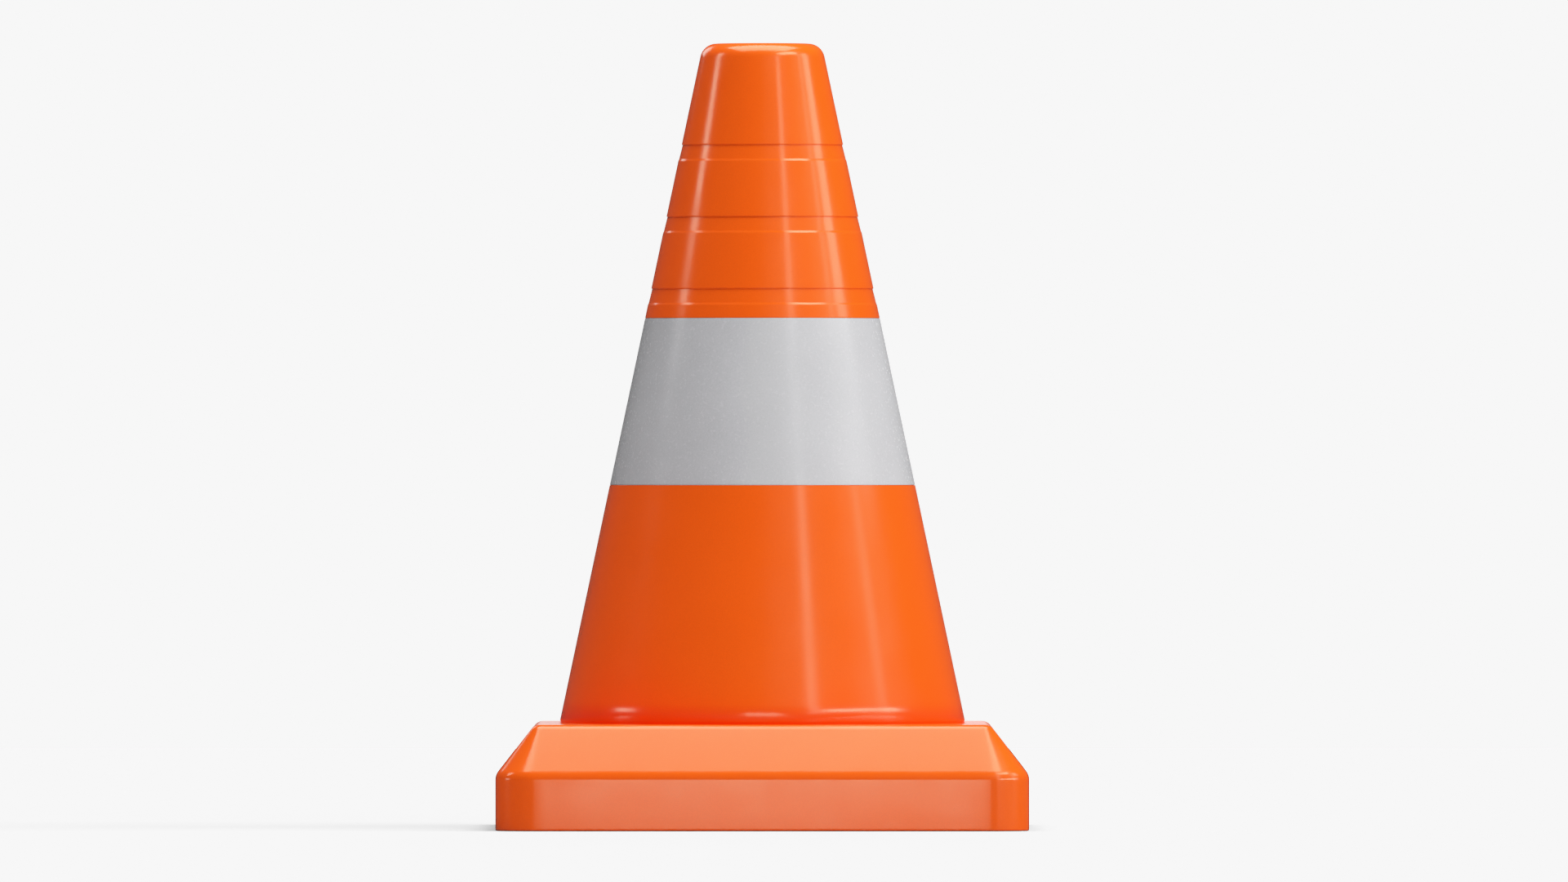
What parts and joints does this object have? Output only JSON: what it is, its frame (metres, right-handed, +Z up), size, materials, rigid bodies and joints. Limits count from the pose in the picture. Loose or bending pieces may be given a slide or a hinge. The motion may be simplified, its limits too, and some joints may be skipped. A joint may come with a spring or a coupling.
{
  "type": "traffic cone",
  "caption": "Small weighted traffic cone: a hollow cone body with a reflective band and shallow grooves, which lifts out of a square base with sloping shoulders.",
  "frame": {"origin": "on the ground, under the middle of the cone", "axes": "+Z up along the cone's axis, X and Y square to the sides of the base"},
  "size_m": [0.204, 0.204, 0.3],
  "materials": {
    "orange_plastic": "glossy moulded plastic, orange",
    "reflective_film": "retroreflective glass-bead film, silver-white, fine grain",
    "black_plastic": "fine-textured moulded plastic, black",
    "black_rubber": "matt rubber, black",
    "zinc_steel": "zinc-plated steel"
  },
  "bodies": {
    "base": {"base_shell": "orange_plastic", "ballast_slab": "black_rubber", "base_plate": "black_plastic", "plate_screw_1": "zinc_steel", "plate_screw_2": "zinc_steel", "plate_screw_3": "zinc_steel", "plate_screw_4": "zinc_steel", "plate_screw_5": "zinc_steel", "plate_screw_6": "zinc_steel", "plate_screw_7": "zinc_steel", "plate_screw_8": "zinc_steel", "grip_pad_front_left": "black_rubber", "grip_pad_front_right": "black_rubber", "grip_pad_rear_left": "black_rubber", "grip_pad_rear_right": "black_rubber"},
    "cone": {"cone_body": "orange_plastic", "reflective_film": "reflective_film"}
  },
  "joints": [
    {"name": "body_lift", "type": "slide", "parent": "base", "child": "cone", "axis": [0, 0, 1], "range_m": [0, 0.06]}
  ]
}
